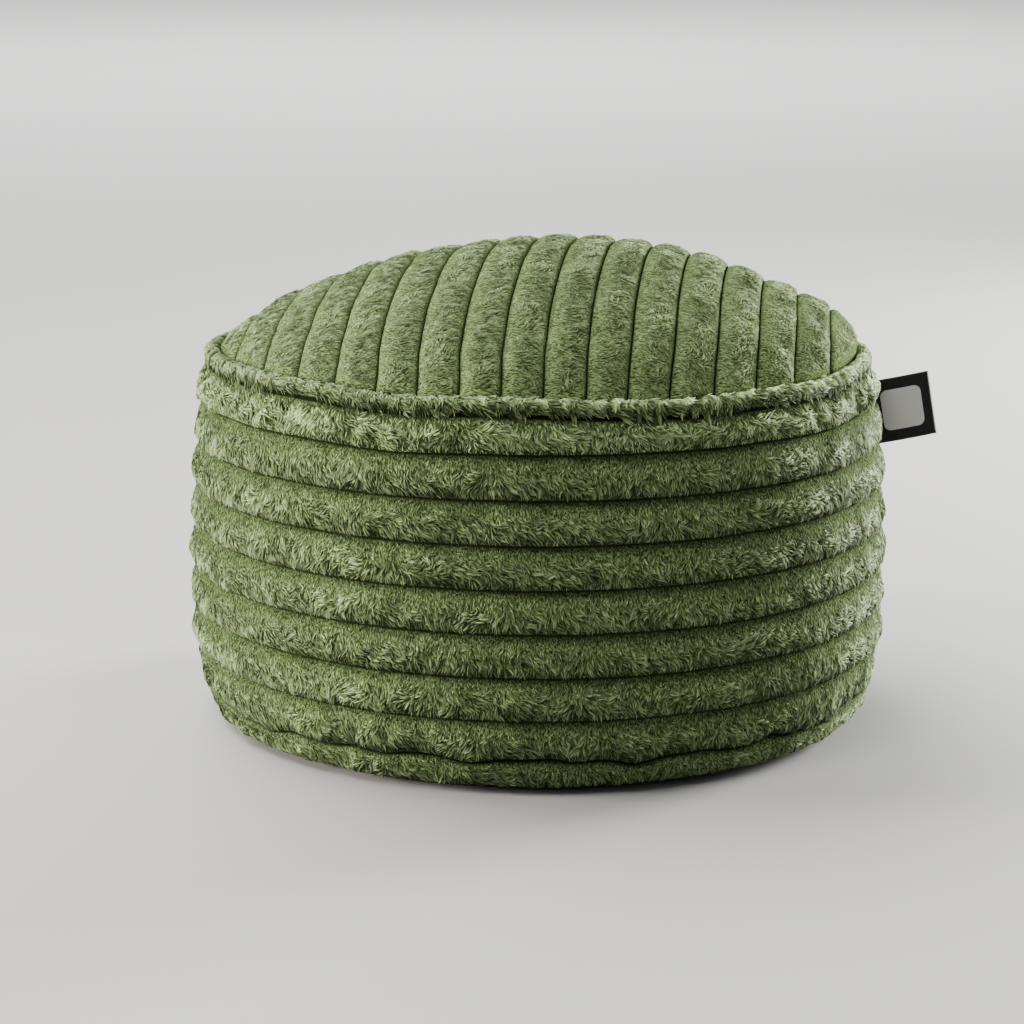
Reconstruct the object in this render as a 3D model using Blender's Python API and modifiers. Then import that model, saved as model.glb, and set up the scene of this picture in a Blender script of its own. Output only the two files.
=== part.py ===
"""A round bean bag footstool in channelled plush, at its real size, as its sewn pieces.

Metres, +Z up. The origin is on the floor under the middle of the base, and -Y is the front.
The pieces are the crowned top panel, the side band, the piping between them, the base panel
and a label caught in the band's one upright seam. Every piece reaches as far as its pile does.
"""

import math

import bmesh
import bpy
from mathutils import Matrix, Vector

# The drum, pile included
DRUM_RADIUS = 0.2525
DRUM_STEPS = 72
SEAM_HEIGHT = 0.2528
SHOULDER_START = 0.110
SHOULDER_DROP = 0.0100
FOOT_START = 0.072
FOOT_DROP = 0.0180

# The sewn channels: plush ribs with a stitched groove between them
RIB_PITCH = 0.0292
FIRST_RIB = 0.0247
SIDE_GROOVES = 8
GROOVE_DEPTH = 0.0060
RIB_SQUARENESS = 2.6
RIB_SAG = 1.6
RIB_STATIONS = (0.0, 0.10, 0.30, 0.56, 0.80, 0.94)
FOOT_STATIONS = (0.20, 0.60, 1.0)
FOOT_FULL = 0.42
ROLL_DEGREES = (28, 56, 80)

# The crown of the top panel, which has settled a little towards +X
CROWN_HEIGHT = 0.3398
CROWN_SPRING = 0.2459
CROWN_RADIUS = 0.2466
CROWN_POWER = 0.70
CROWN_SHIFT = 0.0234
TOP_RADIUS = 0.2242
TOP_RIB_PITCH = 0.0277
TOP_RIB_SHIFT = -0.0047
TOP_RIB_DEPTH = 0.0056
TOP_RIB_LEFT_STRETCH = 0.028
TOP_RIB_RIGHT_STRETCH = 0.012
TOP_RIB_CROWDED = 5
TOP_RIB_CROWDING = 0.033
TOP_RIB_STATIONS = (0.0, 0.14, 0.38, 0.62, 0.86)
TOP_ROWS = 22
TOP_RIB_TURN = math.radians(-6.4)
TOP_END_COLUMNS = (0.0100, 0.0040, 0.0008)
TOP_EDGE_REACH = 0.0160
TOP_EDGE_DROP = 0.0040

# The piping in the top seam
PIPING_RADIUS = 0.0074
PIPING_RING = 0.2324
PIPING_HEIGHT = 0.2608
PIPING_SIDES = 8
PIPING_STEPS = 96

# The base panel, which the stool stands on
BASE_RADIUS = 0.2225
BASE_THICKNESS = 0.0030
SEAM_ALLOWANCE = 0.0040
BASE_STEPS = 48

# The label in the upright seam, a little behind +X
LABEL_TURN = math.radians(4.0)
LABEL_HEIGHT = 0.0470
LABEL_REACH = 0.0471
LABEL_ROOT = 0.008
LABEL_THICKNESS = 0.0016
LABEL_CENTRE = 0.2094
LABEL_SEAT = 0.0052
LABEL_TILT = math.radians(9.8)
LABEL_BOW = 0.0015
SEAM_PINCH = 0.0030
SEAM_HALF_WIDTH = 0.0050

GAP = 0.0004

# The top seam has sunk under use: a little all round, most at one side, and in one dent in front
RIM_SINK = 0.0031
RIM_TILT = 0.0021
RIM_TILT_TOWARDS = math.radians(15.0)
RIM_DENT = 0.0018
RIM_DENT_MIDDLE = math.radians(-68.0)
RIM_DENT_REACH = math.radians(26.0)

# Slow waves round the drum: how many, how high, and where each starts
RIM_WAVES = ((2, 0.0008, 0.4), (5, 0.0007, 2.1), (9, 0.0005, 4.0), (14, 0.0003, 1.2))
FOOT_WAVES = ((4, 0.0007, 1.9), (11, 0.0009, 0.3), (17, 0.0008, 3.3))
PUCKER_WAVES = ((6, 0.0005, 0.9), (13, 0.0006, 2.7), (19, 0.0005, 5.1))
LUMP_WAVES = ((23, 0.0005, 1.1), (31, 0.0004, 3.9))


def smooth(value, start, end):
    """0 before start, 1 after end and an even S curve between them; start may be the larger."""
    share = min(1.0, max(0.0, (value - start) / (end - start)))
    return share * share * (3.0 - 2.0 * share)


def hump(value, middle, reach):
    """1 at the middle, falling evenly to 0 at reach on either side."""
    return smooth(abs(value - middle), reach, 0.0)


def wave(table, angle):
    """The sum of a table's waves at an angle round the drum."""
    return sum(height * math.sin(count * angle + start) for count, height, start in table)


def rim_sink(angle):
    """How far the top seam has sunk at an angle round the drum."""
    away = math.remainder(angle - RIM_DENT_MIDDLE, 2.0 * math.pi)
    dent = RIM_DENT * hump(away, 0.0, RIM_DENT_REACH)
    return RIM_SINK + RIM_TILT * math.cos(angle - RIM_TILT_TOWARDS) + dent


def rib_relief(share):
    """How full a rib is at a share of its width: 0 in the stitched groove and 1 along the middle."""
    return math.sqrt(max(0.0, 1.0 - abs(2.0 * share - 1.0) ** RIB_SQUARENESS))


def sagged_relief(share):
    """The same for a rib of the band, counted downwards: its fill has sunk to its lower half."""
    return rib_relief(share**RIB_SAG)


def settled(point):
    """Where a point of the filled cloth goes as the stool settles: the rim, the foot and the
    first rib wander a little, and everything near them goes along. The floor stays put."""
    radius = math.hypot(point.x, point.y)
    if radius < 1e-6:
        return point.copy()
    angle = math.atan2(point.y, point.x)
    outer = smooth(radius, 0.150, 0.225)
    rim = smooth(point.z, 0.175, 0.245) * smooth(point.z, 0.310, 0.268)
    foot = hump(point.z, 0.0245, 0.020)
    pucker = hump(point.z, 0.2405, 0.014)
    seam = smooth(point.z, 0.236, 0.250) * smooth(point.z, 0.288, 0.266)
    lift = outer * (rim * wave(RIM_WAVES, angle) + foot * wave(FOOT_WAVES, angle))
    lift -= outer * seam * rim_sink(angle)
    push = outer * pucker * wave(PUCKER_WAVES, angle)
    grown = (radius + push) / radius
    return Vector((point.x * grown, point.y * grown, point.z + lift))


def settle(mesh):
    for vertex in mesh.vertices:
        vertex.co = settled(vertex.co)


def drum_radius(height):
    """The drum's radius over its ribs: full in its lower half, drawn in little by little up to
    the top seam, and drawn in faster where it turns under at the foot."""
    shoulder = max(0.0, (height - SHOULDER_START) / (SEAM_HEIGHT - SHOULDER_START))
    foot = max(0.0, (FOOT_START - height) / FOOT_START)
    return DRUM_RADIUS - SHOULDER_DROP * shoulder**2 - FOOT_DROP * foot**2


def side_grooves():
    """The heights of the band's stitched grooves, from the top seam down."""
    first = SEAM_HEIGHT - FIRST_RIB
    return [SEAM_HEIGHT] + [first - RIB_PITCH * i for i in range(SIDE_GROOVES)]


def band_profile():
    """The band's turned outline as (radius, height), from the axis at the top to the axis below."""
    floor = BASE_THICKNESS + GAP
    points = [(0.0, SEAM_HEIGHT), (0.150, SEAM_HEIGHT), (0.200, SEAM_HEIGHT)]
    points.append((0.225, SEAM_HEIGHT))
    grooves = side_grooves()
    for top, bottom in zip(grooves, grooves[1:]):
        for share in RIB_STATIONS:
            height = top + (bottom - top) * share
            radius = drum_radius(height) - GROOVE_DEPTH * (1.0 - sagged_relief(share))
            points.append((radius, height))
    points += foot_profile(grooves[-1], floor)
    return points + [(0.200, floor), (0.150, floor), (0.0, floor)]


def foot_profile(top, floor):
    """The last rib, rolled under: down to its fullest point, and round to the base seam."""
    full = top - FOOT_FULL * (top - floor)
    seam = BASE_RADIUS - SEAM_ALLOWANCE
    reach = drum_radius(full) - seam
    drop = full - floor
    points = [(drum_radius(top) - GROOVE_DEPTH, top)]
    for share in FOOT_STATIONS:
        height = top + (full - top) * share
        points.append((drum_radius(height) - GROOVE_DEPTH * (1.0 - rib_relief(share / 2.0)), height))
    for degrees in ROLL_DEGREES:
        turn = math.radians(degrees)
        points.append((seam + reach * math.cos(turn) ** 0.6, full - drop * math.sin(turn)))
    return points + [(seam, floor)]


def drum_turn(column_angle):
    """Draws the columns beside the upright seam in towards it, so that its pinch is narrow."""
    side = math.copysign(1.0, column_angle)
    away = abs(column_angle)
    step = 2.0 * math.pi / DRUM_STEPS
    near = SEAM_HALF_WIDTH / DRUM_RADIUS
    if away < 0.5 * step or away > 3.5 * step:
        return column_angle
    marks = (0.0, near, 0.55 * (near + 3.0 * step), 3.0 * step)
    return side * marks[round(away / step)]


def pinch_seam(mesh):
    """Stitches the band's two ends together: one upright line of the ribs is drawn in."""
    for vertex in mesh.vertices:
        radius = math.hypot(vertex.co.x, vertex.co.y)
        if radius < 0.21:
            continue
        angle = math.atan2(vertex.co.y, vertex.co.x)
        away = math.remainder(angle - LABEL_TURN, 2.0 * math.pi)
        turned = drum_turn(away)
        inset = SEAM_PINCH if abs(turned) < 0.001 else 0.0
        open_rib = smooth(vertex.co.z, 0.004, 0.012) * smooth(vertex.co.z, SEAM_HEIGHT, 0.245)
        radius -= inset * open_rib
        angle = LABEL_TURN + turned
        vertex.co.x = radius * math.cos(angle)
        vertex.co.y = radius * math.sin(angle)


def mesh_from_screw(name, profile, steps):
    """Turns an outline of (radius, height) once round the axis and returns the finished mesh."""
    outline = bpy.data.meshes.new(name + "_outline")
    edges = [(i, i + 1) for i in range(len(profile) - 1)]
    outline.from_pydata([(radius, 0.0, height) for radius, height in profile], edges, [])
    turned = bpy.data.objects.new(name + "_turned", outline)
    bpy.context.scene.collection.objects.link(turned)
    screw = turned.modifiers.new("Turn", "SCREW")
    screw.angle = 2.0 * math.pi
    screw.steps = steps
    screw.render_steps = steps
    screw.use_merge_vertices = True
    screw.merge_threshold = 0.00005
    return applied_mesh(turned, name)


def applied_mesh(source, name):
    """The mesh of an object with its modifiers, in place of the object itself."""
    graph = bpy.context.evaluated_depsgraph_get()
    graph.update()
    mesh = bpy.data.meshes.new_from_object(source.evaluated_get(graph))
    mesh.transform(source.matrix_world)
    mesh.name = name
    bpy.data.objects.remove(source)
    return mesh


def add_piece(name, mesh, material, collection, crease=50.0):
    """Puts a finished mesh in the stool's collection under its own name and finish."""
    piece = bpy.data.objects.new(name, mesh)
    collection.objects.link(piece)
    mesh.materials.clear()
    mesh.materials.append(material)
    mesh.shade_smooth()
    mesh.set_sharp_from_angle(angle=math.radians(crease))
    return piece


def add_material(name, colour, roughness):
    material = bpy.data.materials.new(name)
    material.use_nodes = True
    shader = material.node_tree.nodes["Principled BSDF"]
    shader.inputs["Base Color"].default_value = (*colour, 1.0)
    shader.inputs["Roughness"].default_value = roughness
    shader.inputs["Metallic"].default_value = 0.0
    return material


def build_side_band(plush, collection):
    """The long strip of plush, its ribs lying round the drum, filled to the middle."""
    mesh = mesh_from_screw("side_band", band_profile(), DRUM_STEPS)
    mesh.transform(Matrix.Rotation(LABEL_TURN, 4, "Z"))
    pinch_seam(mesh)
    settle(mesh)
    return add_piece("side_band", mesh, plush, collection)


def crown_height(x, y):
    """The crown's height over a point: a dome whose level rings slide towards +X as they rise."""
    away = x - CROWN_SHIFT
    spread = CROWN_RADIUS**2 - CROWN_SHIFT**2
    lean = CROWN_SHIFT * away
    ring = (lean + math.sqrt(lean * lean + spread * (away * away + y * y))) / spread
    rise = max(0.0, 1.0 - ring * ring) ** CROWN_POWER
    return CROWN_SPRING + (CROWN_HEIGHT - CROWN_SPRING) * rise


def crown_point(x, y, relief):
    """A point on the ribbed crown: the dome, sunk along its own normal where a groove runs, and
    rolled over into the seam along its edge."""
    step = 0.001
    slope_x = (crown_height(x + step, y) - crown_height(x - step, y)) / (2.0 * step)
    slope_y = (crown_height(x, y + step) - crown_height(x, y - step)) / (2.0 * step)
    normal = Vector((-slope_x, -slope_y, 1.0)).normalized()
    sunk = TOP_RIB_DEPTH * (1.0 - relief)
    edge = max(0.0, 1.0 - (TOP_RADIUS - math.hypot(x, y)) / TOP_EDGE_REACH)
    roll = TOP_EDGE_DROP * edge * edge
    return Vector((x, y, crown_height(x, y) - roll)) - normal * sunk


def groove_offset(place):
    """How far across the top a place counted in ribs lies: the ribs on the left are stretched a
    little, and those at the far right crowd together where the crown falls away."""
    stretched = TOP_RIB_LEFT_STRETCH * min(place, 0.0)
    stretched += TOP_RIB_RIGHT_STRETCH * min(max(place, 0.0), TOP_RIB_CROWDED)
    crowded = TOP_RIB_CROWDING * max(0.0, place - TOP_RIB_CROWDED) ** 2
    return (place + stretched - crowded) * TOP_RIB_PITCH + TOP_RIB_SHIFT


def crown_columns():
    """Places across the top, groove by groove, as (offset, relief), out to both ends."""
    columns = [(-TOP_RADIUS, 0.35), (TOP_RADIUS, 0.35)]
    for inset in TOP_END_COLUMNS:
        columns += [(inset - TOP_RADIUS, 0.6), (TOP_RADIUS - inset, 0.6)]
    reach = int(TOP_RADIUS / TOP_RIB_PITCH) + 1
    for rib in range(-reach, reach):
        for share in TOP_RIB_STATIONS:
            offset = groove_offset(rib + share)
            if abs(offset) < TOP_RADIUS - 1.6 * TOP_END_COLUMNS[0]:
                columns.append((offset, rib_relief(share)))
    return sorted(columns)


def build_top_panel(plush, collection):
    """The round of plush, its ribs lying straight across, over the fill that crowns it."""
    columns = crown_columns()
    sheet = bmesh.new()
    bmesh.ops.create_grid(sheet, x_segments=len(columns) - 1, y_segments=TOP_ROWS, size=1.0)
    turn = Matrix.Rotation(TOP_RIB_TURN, 3, "Z")
    for vertex in sheet.verts:
        column = round((vertex.co.x + 1.0) / 2.0 * (len(columns) - 1))
        offset, relief = columns[column]
        along = math.sin(vertex.co.y * math.pi / 2.0)
        half_length = math.sqrt(max(0.0, TOP_RADIUS**2 - offset**2))
        plan = turn @ Vector((offset, along * half_length, 0.0))
        vertex.co = crown_point(plan.x, plan.y, relief)
    bmesh.ops.remove_doubles(sheet, verts=sheet.verts, dist=0.00002)
    close_underneath(sheet, SEAM_HEIGHT + GAP)
    mesh = bpy.data.meshes.new("top_panel")
    sheet.to_mesh(mesh)
    sheet.free()
    settle(mesh)
    return add_piece("top_panel", mesh, plush, collection)


def close_underneath(sheet, height):
    """Drops the sheet's rim to one height and closes it there, in rings that stay level."""
    for ring_radius in (None, 0.200, 0.150):
        rim = [edge for edge in sheet.edges if edge.is_boundary]
        made = bmesh.ops.extrude_edge_only(sheet, edges=rim)["geom"]
        for vertex in (item for item in made if isinstance(item, bmesh.types.BMVert)):
            if ring_radius is None:
                spot = Vector((vertex.co.x, vertex.co.y, 0.0))
                vertex.co = spot.normalized() * TOP_RADIUS
            else:
                vertex.co = Vector((vertex.co.x, vertex.co.y, 0.0)).normalized() * ring_radius
            vertex.co.z = height
    bmesh.ops.holes_fill(sheet, edges=[edge for edge in sheet.edges if edge.is_boundary])
    bmesh.ops.recalc_face_normals(sheet, faces=sheet.faces)


def build_piping(plush, collection):
    """The plush-covered cord sewn into the top seam, lumpy where its pile bunches."""
    bpy.ops.mesh.primitive_torus_add(
        major_segments=PIPING_STEPS,
        minor_segments=PIPING_SIDES,
        major_radius=PIPING_RING,
        minor_radius=PIPING_RADIUS,
        location=(0.0, 0.0, PIPING_HEIGHT),
    )
    ring = bpy.context.active_object
    mesh = applied_mesh(ring, "top_piping")
    for vertex in mesh.vertices:
        angle = math.atan2(vertex.co.y, vertex.co.x)
        core = Vector((PIPING_RING * math.cos(angle), PIPING_RING * math.sin(angle), PIPING_HEIGHT))
        spoke = vertex.co - core
        outward = max(0.0, spoke.normalized().dot(core.normalized()))
        vertex.co += spoke.normalized() * wave(LUMP_WAVES, angle) * outward
    settle(mesh)
    return add_piece("top_piping", mesh, plush, collection)


def build_base_panel(canvas, collection):
    """The flat round of canvas under the fill."""
    bpy.ops.mesh.primitive_cylinder_add(
        vertices=BASE_STEPS,
        radius=BASE_RADIUS,
        depth=BASE_THICKNESS,
        location=(0.0, 0.0, BASE_THICKNESS / 2.0),
    )
    mesh = applied_mesh(bpy.context.active_object, "base_panel")
    return add_piece("base_panel", mesh, canvas, collection)


def label_place():
    """The label's frame: X runs out of the seam along its tilt, Z up its width, Y through it."""
    spot = Matrix.Rotation(LABEL_TURN, 4, "Z")
    root = Matrix.Translation((drum_radius(LABEL_CENTRE) - LABEL_SEAT, 0.0, LABEL_CENTRE))
    return spot @ root @ Matrix.Rotation(-LABEL_TILT, 4, "Y")


def label_sheet(thickness, height, reach, root):
    """A thin upright sheet in the label's own frame, bowed a little along its reach."""
    bpy.ops.mesh.primitive_grid_add(x_subdivisions=8, y_subdivisions=4, size=1.0)
    grid = bpy.context.active_object
    for vertex in grid.data.vertices:
        along = vertex.co.x + 0.5
        out = -root + (reach + root) * along
        bow = LABEL_BOW * math.sin(math.pi * max(0.0, out) / reach)
        vertex.co = Vector((out, -bow, vertex.co.y * height))
    solid = grid.modifiers.new("Thickness", "SOLIDIFY")
    solid.thickness = thickness
    solid.offset = 0.0
    mesh = applied_mesh(grid, "label")
    mesh.transform(label_place())
    return mesh


def build_label(woven, collection):
    """The black tape label, its root held in the upright seam."""
    mesh = label_sheet(LABEL_THICKNESS, LABEL_HEIGHT, LABEL_REACH, LABEL_ROOT)
    return add_piece("label", mesh, woven, collection, crease=30.0)


def open_seam_for_label(band, cutters):
    """Parts the stitches of the upright seam where the label's root goes in."""
    height = LABEL_HEIGHT + 2.0 * GAP
    mesh = label_sheet(LABEL_THICKNESS + 2.0 * GAP, height, LABEL_REACH, LABEL_ROOT + GAP)
    cutter = bpy.data.objects.new("label_slot", mesh)
    cutters.objects.link(cutter)
    cutter.hide_render = True
    cutter.display_type = "WIRE"
    cut = band.modifiers.new("Label slot", "BOOLEAN")
    cut.operation = "DIFFERENCE"
    cut.object = cutter


def new_collection(name):
    collection = bpy.data.collections.new(name)
    bpy.context.scene.collection.children.link(collection)
    return collection


def main():
    for leftover in list(bpy.data.objects):
        bpy.data.objects.remove(leftover)
    stool = new_collection("bean_bag_footstool")
    cutters = new_collection("cutters")
    plush = add_material("plush_green", (0.155, 0.235, 0.085), 0.95)
    canvas = add_material("base_canvas", (0.020, 0.020, 0.020), 0.85)
    woven = add_material("label_black", (0.010, 0.010, 0.010), 0.60)
    band = build_side_band(plush, stool)
    build_top_panel(plush, stool)
    build_piping(plush, stool)
    build_base_panel(canvas, stool)
    build_label(woven, stool)
    open_seam_for_label(band, cutters)


main()
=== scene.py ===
# A round bean bag footstool in channelled plush, piece by piece as it is sewn.
# Metres, +Z up, the front towards -Y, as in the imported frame.
import math

import bmesh
import bpy
import numpy as np
from mathutils import Matrix


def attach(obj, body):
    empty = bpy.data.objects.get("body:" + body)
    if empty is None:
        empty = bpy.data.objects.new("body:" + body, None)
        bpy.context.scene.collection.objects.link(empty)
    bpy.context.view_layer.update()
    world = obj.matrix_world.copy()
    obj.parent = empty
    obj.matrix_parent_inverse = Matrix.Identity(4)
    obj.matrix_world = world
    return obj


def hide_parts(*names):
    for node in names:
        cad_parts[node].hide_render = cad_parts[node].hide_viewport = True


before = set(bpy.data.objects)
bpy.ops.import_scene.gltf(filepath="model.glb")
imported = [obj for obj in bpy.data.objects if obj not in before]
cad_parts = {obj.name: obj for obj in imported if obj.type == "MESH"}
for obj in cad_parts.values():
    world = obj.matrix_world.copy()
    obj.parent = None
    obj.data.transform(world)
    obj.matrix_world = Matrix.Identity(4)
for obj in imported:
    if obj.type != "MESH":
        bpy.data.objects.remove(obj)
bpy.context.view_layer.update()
print("frame loaded:", ", ".join(sorted(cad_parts)))

# The drum that the side band makes, over the tips of its pile
drum = {
    "radius": 0.2525,
    "seamHeight": 0.2528,
    "shoulderStart": 0.110,
    "shoulderDrop": 0.0100,
    "footStart": 0.072,
    "footDrop": 0.0180,
    "ribs": 9,
    "ribPitch": 0.0292,
    "firstRib": 0.0247,
    "grooveDepth": 0.0070,
    "squareness": 2.3,
    "sag": 1.55,
    "footFull": 0.42,
    "baseSeam": 0.2185,
    "floor": 0.0034,
    "seamTurn": math.radians(4.0),
    "seamPinch": 0.0030,
    "seamHalfWidth": 0.0050,
    # the top seam has sunk: a little all round, most at one side, and in one dent in front
    "sink": 0.0031,
    "tilt": 0.0021,
    "tiltTowards": math.radians(15.0),
    "dent": 0.0018,
    "dentMiddle": math.radians(-68.0),
    "dentReach": math.radians(26.0),
    # how far in ribs the last groove's scallops reach
    "scalloped": 0.55,
    # the first rib is pressed up against the cord, more and more between these places in it
    "pressedUp": 0.0019,
    "pressedFrom": (0.42, 0.04),
    # the heights over which the upright seam's crease opens at the floor and closes at the top
    "creaseOpens": (0.004, 0.012),
    "creaseCloses": (0.2528, 0.245),
}

# Slow waves round the drum: how many, how high, and where each starts
rimWaves = ((2, 0.0008, 0.4), (5, 0.0007, 2.1), (9, 0.0005, 4.0), (14, 0.0003, 1.2))
footWaves = ((4, 0.0007, 1.9), (11, 0.0009, 0.3), (17, 0.0008, 3.3))
puckerWaves = ((6, 0.0005, 0.9), (13, 0.0006, 2.7), (19, 0.0005, 5.1))
lumpWaves = ((23, 0.0005, 1.1), (31, 0.0004, 3.9))

# Where the cloth wanders with them: from and to a radius, between two (from, to) pairs of heights, or
# as a hump at a height with its reach
wanders = {
    "outer": (0.150, 0.225),
    "rim": ((0.175, 0.245), (0.310, 0.268)),
    "seam": ((0.236, 0.250), (0.288, 0.266)),
    "foot": (0.0245, 0.020),
    "firstRib": (0.2405, 0.014),
}


def smoothStep(value, start, end):
    # 0 before start, 1 after end, and s*s*(3 - 2s) between them
    share = np.clip((value - start) / (end - start), 0.0, 1.0)
    return share * share * (3.0 - 2.0 * share)


def hump(value, middle, reach):
    # 1 at the middle and 0 at reach on either side
    return smoothStep(np.abs(value - middle), reach, 0.0)


def waves(table, angle):
    # the sum of height * sin(count * angle + start)
    return sum(height * np.sin(count * angle + start) for count, height, start in table)


def unit(vectors):
    return vectors / np.maximum(np.linalg.norm(vectors, axis=-1, keepdims=True), 1e-12)


def roundAxis(radius, angle, height):
    # (radius * cos, radius * sin, height)
    return np.stack([radius * np.cos(angle), radius * np.sin(angle), height + 0.0 * angle], -1)


def relief(share):
    # a rib's fullness across its width: sqrt(1 - |2s - 1|^squareness), 0 in both grooves
    return np.sqrt(np.clip(1.0 - np.abs(2.0 * share - 1.0) ** drum["squareness"], 0.0, None))


def rimSink(angle):
    # how far the top seam has sunk: sink + tilt * cos(angle - towards) + dent * hump
    away = np.remainder(angle - drum["dentMiddle"] + math.pi, 2.0 * math.pi) - math.pi
    dent = drum["dent"] * hump(away, 0.0, drum["dentReach"])
    return drum["sink"] + drum["tilt"] * np.cos(angle - drum["tiltTowards"]) + dent


def settle(points):
    # the filled cloth wanders: rim and foot up and down, the first rib in and out
    radius = np.hypot(points[..., 0], points[..., 1])
    angle = np.arctan2(points[..., 1], points[..., 0])
    height = points[..., 2]
    outer = smoothStep(radius, *wanders["outer"])
    rim, seam = (
        smoothStep(height, *upwards) * smoothStep(height, *downwards)
        for upwards, downwards in (wanders["rim"], wanders["seam"])
    )
    foot = hump(height, *wanders["foot"])
    pucker = hump(height, *wanders["firstRib"])
    lift = rim * waves(rimWaves, angle) + foot * waves(footWaves, angle) - seam * rimSink(angle)
    push = outer * pucker * waves(puckerWaves, angle)
    grown = 1.0 + push / np.maximum(radius, 1e-6)
    return np.stack([points[..., 0] * grown, points[..., 1] * grown, height + outer * lift], -1)


def softNoise(points, size, seed, count=12):
    # smooth random values around 0: plane waves about size long, in random directions
    rng = np.random.default_rng(seed)
    direction = unit(rng.normal(size=(count, 3)))
    pull = direction * (2.0 * math.pi / size) * rng.uniform(0.65, 1.5, (count, 1))
    start = rng.uniform(0.0, 2.0 * math.pi, count)
    return np.sin(points @ pull.T + start).sum(-1) * math.sqrt(2.0 / count)


def drumRadius(height):
    # radius - shoulderDrop * s^2 - footDrop * f^2, s and f growing towards the seam and the floor
    span = drum["seamHeight"] - drum["shoulderStart"]
    shoulder = np.clip((height - drum["shoulderStart"]) / span, 0.0, None)
    foot = np.clip((drum["footStart"] - height) / drum["footStart"], 0.0, None)
    return drum["radius"] - drum["shoulderDrop"] * shoulder**2 - drum["footDrop"] * foot**2


def bandOutline(place):
    # (radius, height) down the band, place counted in ribs from the top seam: every rib hangs
    # from its groove as relief(share^sag), and the last one rolls under to the base seam
    rib = np.clip(np.floor(place), 0, drum["ribs"] - 1)
    share = place - rib
    grooveZ = drum["seamHeight"] - drum["firstRib"] - drum["ribPitch"] * (rib - 1)
    top = np.where(rib < 0.5, drum["seamHeight"], grooveZ)
    bottom = drum["seamHeight"] - drum["firstRib"] - drum["ribPitch"] * rib
    height = top + (bottom - top) * share
    radius = drumRadius(height) - drum["grooveDepth"] * (1.0 - relief(share ** drum["sag"]))
    full = top - drum["footFull"] * (top - drum["floor"])
    turn = np.clip(2.0 * share - 1.0, 0.0, 1.0) * math.pi / 2.0
    upper = share < 0.5
    upperZ = top + (full - top) * 2.0 * share
    upperR = drumRadius(upperZ) - drum["grooveDepth"] * (1.0 - relief(share))
    reach = drumRadius(full) - drum["baseSeam"]
    lowerZ = full - (full - drum["floor"]) * np.sin(turn)
    lowerR = drum["baseSeam"] + reach * np.clip(np.cos(turn), 0.0, 1.0) ** 0.6
    last = rib > drum["ribs"] - 1.5
    radius = np.where(last, np.where(upper, upperR, lowerR), radius)
    height = np.where(last, np.where(upper, upperZ, lowerZ), height)
    return radius, height


# The loose fill's lumps under the cloth, in metres: how high and how long, softest in the grooves
fill = {
    "wide": (0.0007, 0.050),
    "narrow": (0.0004, 0.021),
    "firstRib": (0.0013, 0.023),
    "scallop": (0.0011, 0.034),
}
# between its lumps the fill lies this much lower
fillSunk = 0.0006

# The cloth of the ribs, for the simulation: it is sewn down along the grooves and has a little cloth
# to spare between them, so it puckers as the filling presses it out
cloth = {
    "frames": 20,
    "quality": 4,
    "pressure": 300.0,
    "mass": 0.02,
    "tension": 12.0,
    "shear": 6.0,
    "bending": 6.0,
    "spare": 0.010,
    "spareFirstRib": 0.018,
    # how far a point may move
    "most": 0.0024,
    # the grids: rows in a rib, columns round the band, ribs of the top either side of its middle
    # groove, and columns along them
    "perRib": 6,
    "round": 180,
    "topRibs": 7,
    "topLong": 72,
}


def lump(points, key, seed):
    height, size = fill[key]
    return height * softNoise(points, size, seed)


# How the simulated cloth has moved from its rest shape, one grid for the band and one for the top
puckers = {}


def blend(away):
    # a quadratic spline's shares of the three nearest grid points, away cells from the middle one
    return 0.5 * (0.5 - away) ** 2, 0.75 - away**2, 0.5 * (0.5 + away) ** 2


def puckerAt(key, row, column, closed):
    # how far the cloth has moved there, blended from the nine nearest points of its grid
    if key not in puckers:
        return np.zeros(np.shape(row) + (3,))
    grid = puckers[key]
    rows, columns = grid.shape[:2]
    row = np.clip(row, 0.0, rows - 1.0)
    nearRow, nearColumn = np.rint(row).astype(np.int64), np.rint(column).astype(np.int64)
    total = 0.0
    for i, rowShare in zip((-1, 0, 1), blend(row - nearRow)):
        for j, columnShare in zip((-1, 0, 1), blend(column - nearColumn)):
            beside = (nearColumn + j) % columns if closed else np.clip(nearColumn + j, 0, columns - 1)
            moved = grid[np.clip(nearRow + i, 0, rows - 1), beside]
            total = total + moved * (rowShare * columnShare)[..., None]
    return total


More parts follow.
